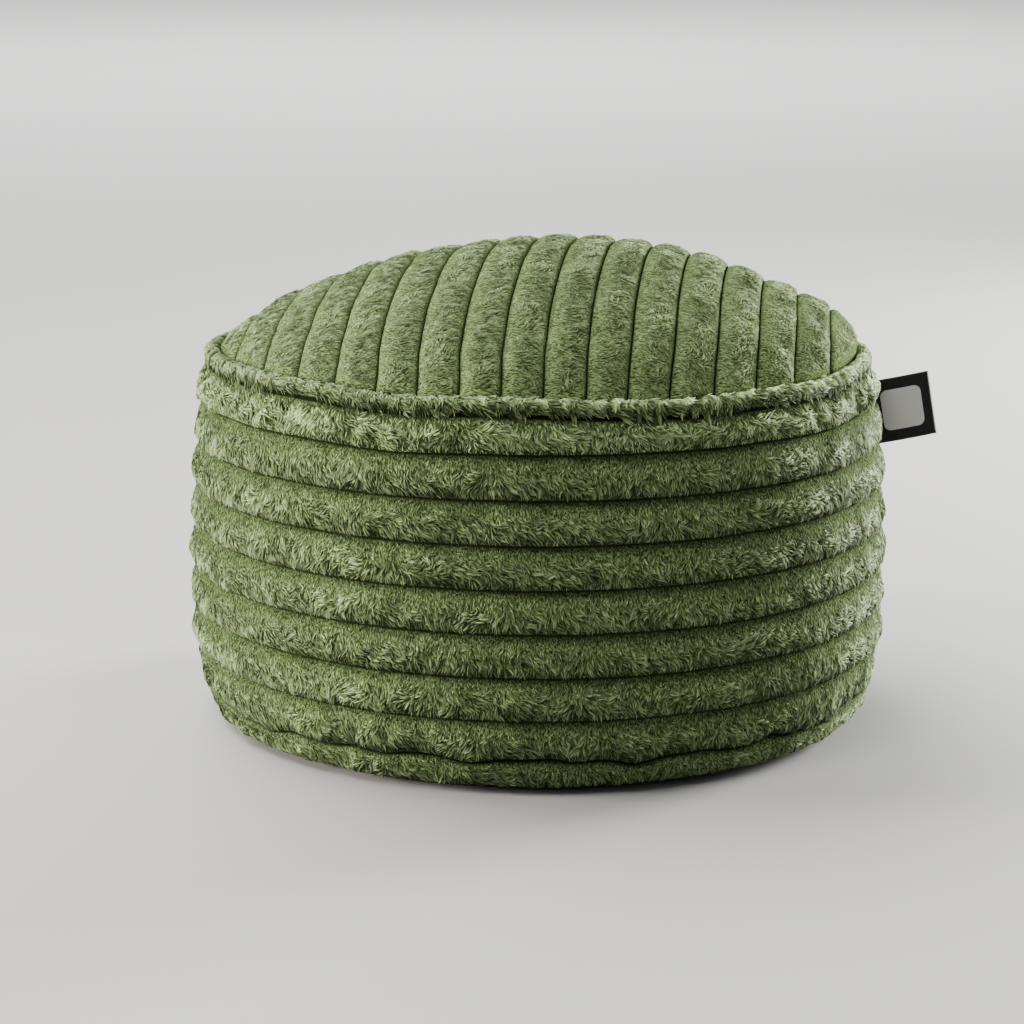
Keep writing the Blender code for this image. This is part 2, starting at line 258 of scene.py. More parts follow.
def bandPoint(angle, place, depth):
    # a point of the band, depth metres under the tips of the pile, square to the outline
    step = 0.01
    radius, height = bandOutline(place)
    radiusA, heightA = bandOutline(np.clip(place - step, 0.0, drum["ribs"]))
    radiusB, heightB = bandOutline(np.clip(place + step, 0.0, drum["ribs"]))
    slope = unit(np.stack([radiusB - radiusA, heightB - heightA], -1))
    radius = radius + slope[..., 1] * depth
    height = height - slope[..., 0] * depth
    away = np.abs(np.remainder(angle - drum["seamTurn"] + math.pi, 2.0 * math.pi) - math.pi)
    crease = np.clip(1.0 - away * drum["radius"] / drum["seamHalfWidth"], 0.0, 1.0)
    openRib = smoothStep(height, *drum["creaseOpens"]) * smoothStep(height, *drum["creaseCloses"])
    radius = radius - drum["seamPinch"] * crease * openRib
    around = roundAxis(drum["radius"], angle, height)
    rib = np.clip(np.floor(place), 0, drum["ribs"] - 1)
    soft = np.sqrt(np.clip(4.0 * (place - rib) * (rib + 1.0 - place), 0.0, 1.0))
    swell = lump(around, "wide", 71) + lump(around, "narrow", 72)
    swell = swell + np.where(rib < 0.5, lump(around, "firstRib", 73), 0.0)
    radius = radius + (swell - fillSunk) * soft
    level = roundAxis(drum["radius"], angle, 0.0)
    height = height + lump(level, "scallop", 74) * hump(place, drum["ribs"] - 1.0, drum["scalloped"])
    column = angle / (2.0 * math.pi) * cloth["round"]
    moved = puckerAt("band", place * cloth["perRib"], column, True) * soft[..., None]
    radius = radius + moved[..., 0]
    angle = angle + moved[..., 1] / radius
    height = height + moved[..., 2] + drum["pressedUp"] * smoothStep(place, *drum["pressedFrom"])
    return settle(roundAxis(radius, angle, height))


# The crown of the top panel, over the tips of its pile
crown = {
    "height": 0.3398,
    "spring": 0.2459,
    "radius": 0.2466,
    "power": 0.70,
    "shift": 0.0234,
    "edge": 0.2288,
    # the filling has shifted towards +X, so near its edge the crown is fuller there
    "shoulder": 0.0050,
    "shoulderFrom": (0.170, 0.215),
    "shoulderTowards": (0.55, 1.0),
    "ribPitch": 0.0277,
    "ribShift": -0.0047,
    "ribDepth": 0.0062,
    "ribTurn": math.radians(-6.4),
    "edgeReach": 0.0120,
    "edgeDrop": 0.0010,
    "under": 0.2532,
    # ribs on the left are stretched a little, and those at the far right crowd together
    "leftStretch": 0.028,
    "rightStretch": 0.012,
    "crowded": 5.0,
    "crowding": 0.033,
    # past the last grooves the two end ribs are this full
    "endRib": (0.2040, 0.2180),
    "endFull": 0.85,
    # towards the front seam the ribs turn a little to +X: all of them by (how far, from and to so
    # much inside the edge), and close to it by more, times the share at their place along X
    "bendAll": (0.0011, 0.085, 0.030),
    "bendNear": (0.0029, 0.034, 0.002),
    "bendPlaces": (-0.15, -0.11, -0.06, 0.03, 0.055, 0.09, 0.13),
    "bendShares": (0.2, 0.9, 1.0, 0.55, 0.05, -0.4, 0.0),
    "bendInFront": (0.02, 0.12),
}


def crownHeight(x, y):
    # a dome whose level rings slide towards +X as they rise: spring + rise * (1 - ring^2)^power
    away = x - crown["shift"]
    spread = crown["radius"] ** 2 - crown["shift"] ** 2
    lean = crown["shift"] * away
    ring = (lean + np.sqrt(lean * lean + spread * (away * away + y * y))) / spread
    rise = np.clip(1.0 - ring * ring, 0.0, None) ** crown["power"]
    return crown["spring"] + (crown["height"] - crown["spring"]) * rise


def grooveAcross(place):
    # metres across the top of a place counted in ribs: pitch * (place + stretch - crowding) + shift
    stretch = crown["leftStretch"] * np.minimum(place, 0.0)
    stretch = stretch + crown["rightStretch"] * np.clip(place, 0.0, crown["crowded"])
    crowding = crown["crowding"] * np.clip(place - crown["crowded"], 0.0, None) ** 2
    return crown["ribPitch"] * (place + stretch - crowding) + crown["ribShift"]


def placeAcross(across):
    # the other way round: the place in ribs of so many metres across
    places = np.linspace(-9.5, 9.5, 761)
    return np.interp(across, grooveAcross(places), places)


def bendOfRibs(x, y):
    # far * smoothStep(edge - radius) for all, and near * share at x * smoothStep(edge - radius)
    inwards = crown["edge"] - np.hypot(x, y)
    far, farStart, farEnd = crown["bendAll"]
    near, nearStart, nearEnd = crown["bendNear"]
    bend = far * smoothStep(inwards, farStart, farEnd)
    share = np.interp(x, crown["bendPlaces"], crown["bendShares"])
    bend = bend + near * share * smoothStep(inwards, nearStart, nearEnd)
    return bend * smoothStep(-y, *crown["bendInFront"])


def topPoint(across, along, depth):
    # a point of the top panel: across is metres square to the ribs, along metres along them
    cosTurn, sinTurn = math.cos(crown["ribTurn"]), math.sin(crown["ribTurn"])
    x = across * cosTurn - along * sinTurn
    y = across * sinTurn + along * cosTurn
    x = x + bendOfRibs(x, y)
    share = np.remainder(placeAcross(across), 1.0)
    full = relief(share)
    full = full + (crown["endFull"] - full) * smoothStep(np.abs(across), *crown["endRib"])
    step = 0.001
    slopeX = (crownHeight(x + step, y) - crownHeight(x - step, y)) / (2.0 * step)
    slopeY = (crownHeight(x, y + step) - crownHeight(x, y - step)) / (2.0 * step)
    normal = unit(np.stack([-slopeX, -slopeY, np.ones_like(slopeX)], -1))
    radius = np.hypot(x, y)
    inEdge = np.clip(1.0 - (crown["edge"] - radius) / crown["edgeReach"], 0.0, None)
    roll = crown["edgeDrop"] * inEdge**2
    shoulder = crown["shoulder"] * smoothStep(radius, *crown["shoulderFrom"])
    shoulder = shoulder * smoothStep(x / radius, *crown["shoulderTowards"])
    point = np.stack([x, y, crownHeight(x, y) + shoulder - roll], -1)
    sunk = crown["ribDepth"] * (1.0 - full) + depth
    swell = lump(point, "wide", 75) + lump(point, "narrow", 76) - fillSunk
    soft = np.sqrt(np.clip(4.0 * share * (1.0 - share), 0.0, 1.0))
    sunk = sunk - swell * soft
    chord = np.sqrt(np.clip(crown["edge"] ** 2 - across**2, 1e-6, None))
    row = (placeAcross(across) + cloth["topRibs"]) * cloth["perRib"]
    column = (np.clip(along / chord, -1.0, 1.0) + 1.0) * 0.5 * (cloth["topLong"] - 1)
    moved = puckerAt("top", row, column, False) * soft[..., None]
    return settle(point - normal * sunk[..., None] + moved)


# The plush-covered cord in the top seam
piping = {"ring": 0.2324, "radius": 0.0074, "height": 0.2608, "steps": 320, "sides": 16}


def pipingPoint(angle, turn, depth):
    # a tube round the seam: turn 0 faces outwards and a quarter turn faces up
    lumps = waves(lumpWaves, angle) * np.clip(np.cos(turn), 0.0, None)
    thick = piping["radius"] + lumps - depth
    radius = piping["ring"] + thick * np.cos(turn)
    height = piping["height"] + thick * np.sin(turn)
    return settle(roundAxis(radius, angle, height))


def surfaceNormal(surface, along, place, pitch):
    # the cross product of the two directions along the cloth, from small steps either way
    step = 0.0006
    onwards = surface(along, place + step / pitch, 0.0) - surface(along, place - step / pitch, 0.0)
    sideways = surface(along + step, place, 0.0) - surface(along - step, place, 0.0)
    return unit(np.cross(onwards, sideways))


def newMesh(name, points, faces, corners, pile=((1.0, 1.0), (0.0, 0.0))):
    # faces all have the same number of corners; corners is the (u, v) of each face corner, from 0 to
    # 1, and pile is the (scale, shift) that makes the material's coordinates of them
    mesh = bpy.data.meshes.new(name)
    size = faces.shape[1]
    mesh.vertices.add(len(points))
    mesh.vertices.foreach_set("co", points.astype(np.float32).ravel())
    mesh.loops.add(faces.size)
    mesh.loops.foreach_set("vertex_index", faces.astype(np.int32).ravel())
    mesh.polygons.add(len(faces))
    mesh.polygons.foreach_set("loop_start", np.arange(0, faces.size, size, dtype=np.int32))
    for layerName, (scale, shift) in (("pile", pile), ("OFBake", ((1.0, 1.0), (0.0, 0.0)))):
        layer = mesh.uv_layers.new(name=layerName, do_init=False)
        placed = corners * np.array(scale) + np.array(shift)
        layer.uv.foreach_set("vector", placed.astype(np.float32).ravel())
    mesh.update(calc_edges=True)
    mesh.validate()
    mesh.shade_smooth()
    return mesh


def addPiece(name, mesh, material, node=None):
    # one piece of the stool, which rides on its only body; node is the CAD node that it replaces
    piece = bpy.data.objects.new(name, mesh)
    bpy.context.scene.collection.objects.link(piece)
    mesh.materials.append(material)
    if node:
        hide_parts(node)
    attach(piece, "root")
    return piece


def addNode(tree, kind, inputs=(), **settings):
    # one node with its settings; inputs is (socket, value) pairs, where a value may also be the node
    # that feeds it from its first output, or one of a node's outputs
    node = tree.nodes.new("ShaderNode" + kind)
    for key, value in settings.items():
        setattr(node, key, value)
    for socket, value in inputs:
        if isinstance(value, bpy.types.Node):
            value = value.outputs[0]
        if isinstance(value, bpy.types.NodeSocket):
            tree.links.new(value, node.inputs[socket])
        else:
            node.inputs[socket].default_value = value
    return node


def toLinear(hexColour):
    # sRGB hex to linear: c / 12.92 under 0.04045, else ((c + 0.055) / 1.055)^2.4
    parts = [int(hexColour[i : i + 2], 16) / 255.0 for i in (1, 3, 5)]
    return tuple(c / 12.92 if c <= 0.04045 else ((c + 0.055) / 1.055) ** 2.4 for c in parts) + (1.0,)


def newMaterial(name, finish):
    # finish has a roughness, and may have one plain colour, a specular, a sheen and the sheen's tint
    material = bpy.data.materials.new(name)
    material.use_nodes = True
    shader = material.node_tree.nodes["Principled BSDF"]
    if "colour" in finish:
        shader.inputs["Base Color"].default_value = toLinear(finish["colour"])
    shader.inputs["Roughness"].default_value = finish["roughness"]
    shader.inputs["Specular IOR Level"].default_value = finish.get("specular", 0.25)
    shader.inputs["Sheen Weight"].default_value = finish.get("sheen", 0.0)
    shader.inputs["Sheen Roughness"].default_value = 0.5
    shader.inputs["Sheen Tint"].default_value = toLinear(finish.get("sheenTint", "#ffffff"))
    return material, material.node_tree, shader


def fillRamp(ramp, stops):
    while len(ramp.elements) > 1:
        ramp.elements.remove(ramp.elements[-1])
    for index, (place, colour) in enumerate(stops):
        element = ramp.elements[0] if index == 0 else ramp.elements.new(place)
        element.position = place
        element.color = toLinear(colour)


# How much paler or darker the pile is, as painted shade and painted light: round a rib of the band
# and of the top, darker into the grooves, and round the cord from its inside to its underside, palest on top
ribShade = ((0.0, -0.20), (0.06, -0.12), (0.14, 0.01), (0.25, 0.12), (0.38, 0.14), (0.50, 0.10),
            (0.60, 0.01), (0.70, -0.06), (0.80, -0.15), (0.88, -0.38), (0.95, -0.43), (1.0, -0.42))
topShade = ((0.0, -0.18), (0.04, -0.06), (0.13, 0.05), (0.25, 0.04), (0.45, 0.01), (0.62, -0.03),
            (0.76, 0.0), (0.88, 0.07), (0.96, 0.0), (1.0, -0.18))
cordShade = ((0.0, -0.05), (0.5, 0.50), (0.9, 1.05), (1.7, 1.12), (2.15, 0.68), (2.6, 0.02),
             (3.0, -0.34), (3.4, -0.45))

# On the side towards the window the light reaches into the grooves, so the painted shades there are others:
# they take over from the first to the second of these places along -X
openSide = {"from": 0.130, "to": 0.245}
openRibShade = ((0.0, -0.10), (0.03, -0.10), (0.08, -0.17), (0.18, -0.21), (0.26, -0.23), (0.34, -0.20),
                (0.42, -0.13), (0.52, 0.0), (0.66, 0.02), (0.80, 0.0), (0.90, -0.06), (1.0, -0.20))
openTopShade = ((0.0, -0.12), (0.05, -0.06), (0.13, -0.03), (0.45, -0.02), (0.62, -0.04), (0.74, 0.01),
                (0.84, 0.13), (0.92, 0.18), (0.97, 0.08), (1.0, -0.12))
openCordShade = tuple((place, 0.4 * shade) for place, shade in cordShade)

# Polyester plush: each lock dark at its root and paler at its tip, painted shade at the root and painted
# light at the tip, some locks paler than others
plushLocks = {
    "rootToTip": ((0.00, "#232b0f"), (0.40, "#5f7143"), (0.72, "#87986d"), (1.00, "#a2b08a")),
    "lightest": 2.6,
    "roughness": 0.70,
    "specular": 0.04,
    "sheen": 0.04,
    "sheenTint": "#e2e8c8",
}


def plushLockMaterial():
    material, tree, shader = newMaterial("plush_pile", plushLocks)
    pile = addNode(tree, "UVMap", uv_map="pile")
    parts = addNode(tree, "SeparateXYZ", [(0, pile)])
    ramp = addNode(tree, "ValToRGB", [(0, parts.outputs["Y"])])
    fillRamp(ramp.color_ramp, plushLocks["rootToTip"])
    lightest = plushLocks["lightest"]
    tone = addNode(tree, "Math", [(0, parts.outputs["X"]), (1, lightest)], operation="MULTIPLY")
    shade = addNode(tree, "VectorMath", [(0, ramp), (3, tone)], operation="SCALE")
    tree.links.new(shade.outputs[0], shader.inputs["Base Color"])
    return material


# The same plush between the locks: dense short fibres lying one way, painted shade black down in the grooves
plushGround = {
    "bandColours": ((0.30, "#18200b"), (0.48, "#425230"), (0.68, "#708056")),
    # the top's colours are paler than the band's: painted light on the upward-facing top
    "topColours": ((0.30, "#20290e"), (0.48, "#50623a"), (0.68, "#859668")),
    "roundingShade": 0.85,
    "fibreWidth": 0.0009,
    "fibreLength": 0.0036,
    "wander": 0.0050,
    "wanderSize": 0.0090,
    "bump": 0.0009,
    "groove": 0.034,
    "grooveShadeColour": "#1a2210",
    "roughness": 0.85,
    "specular": 0.0,
}


def addBump(tree, shader, height, distance, strength=1.0):
    # the finest relief, which only turns the light: height * distance in metres
    bump = addNode(tree, "Bump", [("Height", height), ("Distance", distance), ("Strength", strength)])
    tree.links.new(bump.outputs[0], shader.inputs["Normal"])


def shadeRamp(tree, share, shades):
    # how much darker or paler the ground is by its place across a rib, as painted shade: 0.5 + roundingShade
    # * shade
    ramp = addNode(tree, "ValToRGB", [(0, share)])
    elements = ramp.color_ramp.elements
    fillRamp(ramp.color_ramp, ())
    for index, (at, shade) in enumerate(shades):
        element = elements[0] if index == 0 else elements.new(at)
        element.position = at
        element.color = (0.5 + shade * plushGround["roundingShade"],) * 3 + (1.0,)
    return ramp


def plushGroundMaterial(name, colours, shades, openShades, lies, turn=0.0):
    # lies is the axis along the fibres, 0 for X and 2 for Z, in coordinates turned about Z
    material, tree, shader = newMaterial(name, plushGround)
    place = addNode(tree, "TexCoord")
    here = place.outputs["Object"]
    # coordinates + wander * (slow noise - 0.5): the fibres swirl
    slowScale = 1.0 / plushGround["wanderSize"]
    slow = addNode(tree, "TexNoise", [("Vector", here), ("Scale", slowScale), ("Detail", 1.0)])
    half, wander = (0.5, 0.5, 0.5), plushGround["wander"]
    centred = addNode(tree, "VectorMath", [(0, slow.outputs["Color"]), (1, half)], operation="SUBTRACT")
    swirl = addNode(tree, "VectorMath", [(0, centred), (3, wander)], operation="SCALE")
    moved = addNode(tree, "VectorMath", [(0, here), (1, swirl)])
    scale = [1.0 / plushGround["fibreWidth"]] * 3
    scale[lies] = 1.0 / plushGround["fibreLength"]
    around = [("Vector", moved), ("Angle", turn)]
    turned = addNode(tree, "VectorRotate", around, rotation_type="Z_AXIS")
    stretched = addNode(tree, "VectorMath", [(0, turned), (1, scale)], operation="MULTIPLY")
    fibres = addNode(tree, "TexNoise", [("Vector", stretched), ("Scale", 1.0), ("Detail", 1.5)])
    ramp = addNode(tree, "ValToRGB", [(0, fibres.outputs["Fac"])])
    fillRamp(ramp.color_ramp, plushGround[colours])
    # distance to the nearest groove in ribs: min(fract(v), 1 - fract(v)), painted dark shade under "groove"
    pile = addNode(tree, "UVMap", uv_map="pile")
    parts = addNode(tree, "SeparateXYZ", [(0, pile)])
    share = addNode(tree, "Math", [(0, parts.outputs["Y"])], operation="FRACT")
    rest = addNode(tree, "Math", [(0, 1.0), (1, share)], operation="SUBTRACT")
    near = addNode(tree, "Math", [(0, share), (1, rest)], operation="MINIMUM")
    wide = plushGround["groove"]
    deep = addNode(tree, "MapRange", [(0, near), (1, 0.25 * wide), (2, wide), (3, 1.0), (4, 0.0)])
    # painted shade rounds the rib: the fibres' colour * 2 * the ramp of its side, then the grooves' painted
    # shade
    roundingShade = shadeRamp(tree, share, shades)
    openRoundingShade = shadeRamp(tree, share, openShades)
    # towards the window, along -X, the painted shades of the open side take over
    where = addNode(tree, "SeparateXYZ", [(0, here)])
    openness = addNode(
        tree, "MapRange", [(0, where.outputs["X"]), (1, -openSide["from"]), (2, -openSide["to"])]
    )
    sides = [(0, openness), (1, roundingShade), (2, openRoundingShade)]
    mixed = addNode(tree, "MixRGB", sides)
    shaded = addNode(tree, "VectorMath", [(0, ramp), (1, mixed)], operation="MULTIPLY")
    doubled = addNode(tree, "VectorMath", [(0, shaded), (3, 2.0)], operation="SCALE")
    grooveShadeColour = toLinear(plushGround["grooveShadeColour"])
    colour = addNode(tree, "MixRGB", [(0, deep), (1, doubled), (2, grooveShadeColour)])
    addBump(tree, shader, fibres.outputs["Fac"], plushGround["bump"])
    tree.links.new(colour.outputs[0], shader.inputs["Base Color"])
    return material


lockMaterial = plushLockMaterial()
bandGroundMaterial = plushGroundMaterial("plush_ground_band", "bandColours", ribShade, openRibShade, 2)
topGroundMaterial = plushGroundMaterial(
    "plush_ground_top", "topColours", topShade, openTopShade, 0, -crown["ribTurn"]
)


def gridFaces(rowPlaces, columns, closedRows, closedColumns):
    # quads over a grid, wound so that (down the rows) x (along the columns) points outwards;
    # rowPlaces are the rows' places, one more than the rows where the last joins the first
    rows = len(rowPlaces) - 1 if closedRows else len(rowPlaces)
    rowCount = rows if closedRows else rows - 1
    columnCount = columns if closedColumns else columns - 1
    row, column = np.meshgrid(np.arange(rowCount), np.arange(columnCount), indexing="ij")
    below = (row + 1) % rows
    beside = (column + 1) % columns
    quads = [(row, column), (below, column), (below, beside), (row, beside)]
    quads = np.stack([down * columns + along for down, along in quads], -1)
    places = (rowPlaces - rowPlaces[0]) / (rowPlaces[-1] - rowPlaces[0])
    u = np.stack([column, column, column + 1, column + 1], -1) / columnCount
    v = places[np.stack([row, row + 1, row + 1, row], -1)]
    return quads.reshape(-1, 4), np.stack([u, v], -1).reshape(-1, 4, 2)


def closeHoles(mesh, steps=(), above=-1.0, joined=None):
    # points within "joined" of each other are made one. Steps are (scale, height): each open rim
    # above a height is drawn in to it, and then all are filled.
    shape = bmesh.new()
    shape.from_mesh(mesh)
    if joined:
        bmesh.ops.remove_doubles(shape, verts=shape.verts, dist=joined)
    for scale, height in steps:
        rim = [edge for edge in shape.edges if edge.is_boundary and edge.verts[0].co.z > above]
        made = bmesh.ops.extrude_edge_only(shape, edges=rim)["geom"]
        for vertex in (item for item in made if isinstance(item, bmesh.types.BMVert)):
            vertex.co.x *= scale
            vertex.co.y *= scale
            vertex.co.z = height
    bmesh.ops.holes_fill(shape, edges=[edge for edge in shape.edges if edge.is_boundary])
    bmesh.ops.recalc_face_normals(shape, faces=shape.faces)
    shape.to_mesh(mesh)
    shape.free()
    mesh.shade_smooth()


# How the pile lies across a rib, from one groove to the next: lengths in metres, angles in degrees
napTable = {
    "share": (0.00, 0.08, 0.20, 0.34, 0.48, 0.62, 0.75, 0.86, 0.94, 1.00),
    "length": (0.0018, 0.0026, 0.0036, 0.0050, 0.0062, 0.0067, 0.0061, 0.0044, 0.0030, 0.0018),
    "contrast": (1.30, 1.35, 1.40, 1.35, 1.20, 1.00, 0.90, 0.90, 1.00, 1.20),
    "width": (0.70, 0.74, 0.80, 0.90, 1.00, 1.04, 0.98, 0.86, 0.76, 0.70),
    "lift": (4.0, 5.0, 6.0, 9.0, 12.0, 13.0, 11.0, 7.0, 3.0, 2.0),
    "swirl": (10.0, 15.0, 24.0, 34.0, 38.0, 34.0, 26.0, 17.0, 11.0, 8.0),
    "combed": (2.0, 5.0, 14.0, 42.0, 55.0, 44.0, 27.0, 14.0, 6.0, 2.0),
    "sunk": (0.0004, 0.0006, 0.0008, 0.0012, 0.0016, 0.0018, 0.0015, 0.0009, 0.0005, 0.0004),
    "gather": (0.10, 0.15, 0.25, 0.35, 0.45, 0.50, 0.50, 0.45, 0.30, 0.20),
    "thick": (0.50, 0.60, 0.75, 1.00, 1.20, 1.30, 1.20, 1.05, 0.90, 0.80),
}
locks = {
    "width": 0.00074,
    "widths": (0.7, 1.3),
    "lengths": (0.75, 1.25),
    "shortest": 0.0008,
    "rooted": 0.0003,
    # the belly's place along a lock, and how much the part below it stands up and the part above it
    "belly": 0.42,
    "stands": (1.5, 0.35),
    "leastLift": 0.03,
    "curl": 46.0,
    "clearOfGroove": 0.0011,
    # most of the pile is combed one way round, and here and there the other way: mean, least, most
    "oneWay": (0.65, -0.9, 1.2),
    # tufts: their size, how far they turn, and how far belly and tip are drawn to their middle
    "tuft": (0.0030, 0.0042),
    "tuftTurn": 0.13,
    "gathered": (0.3, 0.5),
    # each lock's own share of heading, bend and lift
    "stray": (0.07, 0.08, 0.06),
    # tones: the usual one, a tuft's own, how much evener they are towards the window (painted light), and
    # the gain
    "tone": 0.62,
    "tuftTone": 0.05,
    "evener": 0.45,
    "gain": 1.22,
    "clothNormal": 0.6,
}
# Slow noise over the cloth that neighbouring locks share: how long in metres, how strong, its seed
drift = {
    "swirl": (0.044, 0.85, 1),
    "eddy": (0.015, 0.32, 2),
    "lift": (0.0085, 0.6, 3),
    "bend": (0.010, 0.8, 4),
    "patch": (0.017, 1.0, 5),
    "tuft": (0.0070, 1.0, 6),
    "combed": (0.085, 0.75, 8),
}
# A pile's habit: longer, swirl, combed, gather and slim are times the usual, droop and sweep are
# degrees down and round, proud is metres over the cloth; uneven, tone and patches say how much the
# locks differ in length and brightness, and paler how bright all of them are
usualHabit = {
    "longer": 1.0,
    "uneven": 0.10,
    "tone": 0.31,
    "patches": 0.05,
    "droop": 0.0,
    "proud": 0.0003,
    "swirl": 1.0,
    "combed": 1.0,
    "sweep": 0.0,
    "gather": 0.85,
    "paler": 0.0,
    "slim": 1.0,
    "shade": ribShade,
    "openShade": openRibShade,
}


def roomBelow(share, pitch):
    # how far a lock can reach over the cloth before it meets the next groove
    return (1.0 - share) * pitch - locks["clearOfGroove"]


def nap(column, share):
    return np.interp(share, napTable["share"], napTable[column])


def thicken(v):
    # shares spread so that their density follows the table's "thick": the inverse of its running sum
    fine = np.linspace(0.0, 1.0, 201)
    total = np.cumsum(nap("thick", fine))
    rib = np.floor(v)
    return rib + np.interp(v - rib, (total - total[0]) / (total[-1] - total[0]), fine)


def tuftsOf(along, down, seed):
    # the tuft each lock belongs to, as cells of a wandering grid: the way to the tuft's middle in
    # metres, and three random numbers of its own
    rng = np.random.default_rng(seed)
    table = rng.normal(size=(4096, 3))
    wide, tall = locks["tuft"]
    flat = np.stack([along, down, 0.0 * along], -1)
    u = along / wide + 0.45 * softNoise(flat, 0.011, seed + 1)
    v = down / tall + 0.45 * softNoise(flat, 0.013, seed + 2)
    cellU, cellV = np.floor(u).astype(np.int64), np.floor(v).astype(np.int64)
    own = table[(cellU * 7919 + cellV * 104729) % 4096]
    toU = (cellU + 0.5 - u + 0.12 * own[:, 0]) * wide
    toV = (cellV + 0.5 - v + 0.12 * own[:, 1]) * tall
    return toU, toV, own


def lockLean(rng, share, habit, noise, ofTuft):
    # each lock's heading round from straight down the rib, its bend at the belly and its lift off
    # the cloth, in radians
    count = len(share)
    strayHeading, strayBend, strayLift = locks["stray"]
    mean, least, greatest = locks["oneWay"]
    oneWay = np.clip(mean + noise["combed"], least, greatest)
    heading = np.radians(nap("swirl", share)) * (noise["swirl"] + noise["eddy"]) * habit["swirl"]
    heading = heading + math.radians(habit["sweep"])
    heading = heading + np.radians(nap("combed", share)) * oneWay * habit["combed"]
    heading = heading + locks["tuftTurn"] * ofTuft[:, 2] + rng.normal(0.0, strayHeading, count)
    bend = np.radians(locks["curl"]) * np.tanh(noise["bend"] + rng.normal(0.0, strayBend, count))
    liftNoise = noise["lift"] + noise["tuft"] * 0.35
    lift = nap("lift", share) * (1.0 + 0.25 * liftNoise) - habit["droop"]
    lift = np.maximum(np.radians(lift) + rng.normal(0.0, strayLift, count), locks["leastLift"])
    return heading, bend, lift


def lockTone(rng, root, share, lies, habit, noise, ofTuft):
    # how bright each of a lock's four points is: its own tone, its tuft's and its patch's, and the painted
    # shade where the point itself lies across the rib, the open side's towards the window
    openness = smoothStep(-root[:, 0], openSide["from"], openSide["to"])
    tone = habit["tone"] * nap("contrast", share) * rng.normal(size=len(share))
    tone = tone + locks["tuftTone"] * ofTuft[:, 0]
    tone = tone + 0.02 * noise["tuft"] + habit["patches"] * noise["patch"]
    tone = locks["tone"] + habit["paler"] + (1.0 - locks["evener"] * openness) * tone
    shade = np.interp(lies, *np.array(habit["shade"]).T)
    openShade = np.interp(lies, *np.array(habit["openShade"]).T)
    tone = locks["gain"] * (tone[:, None] + shade + (openShade - shade) * openness[:, None])
    return np.clip(tone / plushLocks["lightest"], 0.04, 0.98)


def lockMesh(name, surface, along, place, share, pitch, seed, room, habit):
    # closed locks of four faces: a root point, two points side by side at the belly and a tip. They
    # follow the cloth, leaning along the nap by the swirl and lift of the table, curl sideways and
    # close up into tufts. surface(along, place, above) is a point above the cloth, along in metres
    # and place in ribs.
    rng = np.random.default_rng(seed)
    count = len(along)
    root = surface(along, place, -locks["rooted"])
    normal = surfaceNormal(surface, along, place, pitch)
    noise = {key: gain * softNoise(root, size, seed + own) for key, (size, gain, own) in drift.items()}
    toU, toV, ofTuft = tuftsOf(along, place * pitch, seed + 7)
    length = nap("length", share) * rng.uniform(*locks["lengths"], count)
    length = length * (1.0 + habit["uneven"] * noise["tuft"]) * habit["longer"]
    heading, bend, lift = lockLean(rng, share, habit, noise, ofTuft)
    # a lock ends just short of the next groove: length <= room / cos(heading)
    length = np.clip(room / np.maximum(np.cos(heading + 0.5 * bend), 0.30), locks["shortest"], length)
    inner = length * locks["belly"]
    outer = length - inner
    innerStands, outerStands = locks["stands"]
    risen = inner * np.sin(innerStands * lift)
    tipRisen = risen + outer * np.sin(outerStands * lift)
    clear = nap("sunk", share) + habit["proud"]
    squeeze = np.minimum(1.0, clear / np.maximum(tipRisen, 1e-6))
    gather = nap("gather", share) * habit["gather"]
    bellyGathered, tipGathered = locks["gathered"]
    bellyU = inner * np.sin(heading) + bellyGathered * gather * toU
    bellyV = inner * np.cos(heading) + bellyGathered * gather * toV
    tipU = bellyU + outer * np.sin(heading + bend) + tipGathered * gather * toU
    tipV = np.minimum(bellyV + outer * np.cos(heading + bend) + tipGathered * gather * toV, room)
    belly = surface(along + bellyU, place + bellyV / pitch, risen * squeeze)
    tip = surface(along + tipU, place + tipV / pitch, tipRisen * squeeze)
    side = unit(np.cross(tip - root, normal))
    half = nap("width", share) * rng.uniform(*locks["widths"], count)
    half = 0.5 * locks["width"] * habit["slim"] * half[:, None]
    points = np.stack([root, belly - side * half, belly + side * half, tip], 1)
    shadeFrom = place if habit["shade"] is cordShade else share
    lies = shadeFrom[:, None] + np.stack([0.0 * bellyV, bellyV, bellyV, tipV], 1) / pitch
    tone = lockTone(rng, root, share, lies, habit, noise, ofTuft)
    corner = np.array([(0, 2, 1), (1, 2, 3), (0, 3, 2), (0, 1, 3)])
    faces = (np.arange(count)[:, None, None] * 4 + corner).reshape(-1, 3)
    v = np.broadcast_to(np.array([0.0, locks["belly"], locks["belly"], 1.0]), (count, 4))
    u = tone + np.array([0.0, -0.006, 0.006, 0.0])
    corners = np.stack([u.ravel(), v.ravel()], -1)[faces.ravel()]
    print(name, len(faces), "triangles")
    mesh = newMesh(name, points.reshape(-1, 3), faces, corners)
    # lit softly, as fine fibres are: each point's normal is mixed with the cloth's
    lockNormal = np.empty(len(points) * 12, np.float32)
    mesh.vertex_normals.foreach_get("vector", lockNormal)
    mixed = (1.0 - locks["clothNormal"]) * lockNormal.reshape(-1, 3)
    mixed = locks["clothNormal"] * np.repeat(normal, 4, axis=0) + mixed
    mesh.normals_split_custom_set_from_vertices(unit(mixed))
    return mesh


